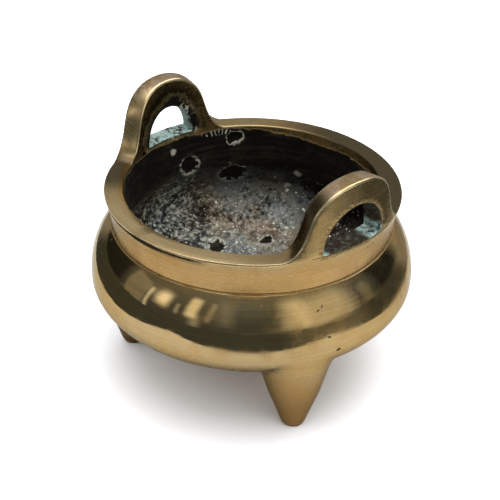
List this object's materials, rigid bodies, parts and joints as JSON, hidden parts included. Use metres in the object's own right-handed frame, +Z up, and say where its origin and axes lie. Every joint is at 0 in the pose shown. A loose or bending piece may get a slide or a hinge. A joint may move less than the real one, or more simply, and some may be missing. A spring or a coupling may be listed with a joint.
{
  "type": "bronze tripod censer",
  "caption": "Squat round bronze incense burner with a thick flat lip, a short flared neck, upright loop handles on the lip and conical feet.",
  "frame": {"origin": "on the floor under the middle of the vessel, where its axis meets the plane of the soles", "axes": "+Z up along the vessel's axis; the loop handles stand at +X and -X; one foot stands near +X on its -Y side, one between -X and -Y, and the hidden one near +Y"},
  "size_m": [0.1284, 0.1284, 0.1058],
  "materials": {
    "bronze": "polished and worn, with a sooted inside and some verdigris"
  },
  "bodies": {
    "root": {"censer": "bronze"}
  },
  "joints": []
}
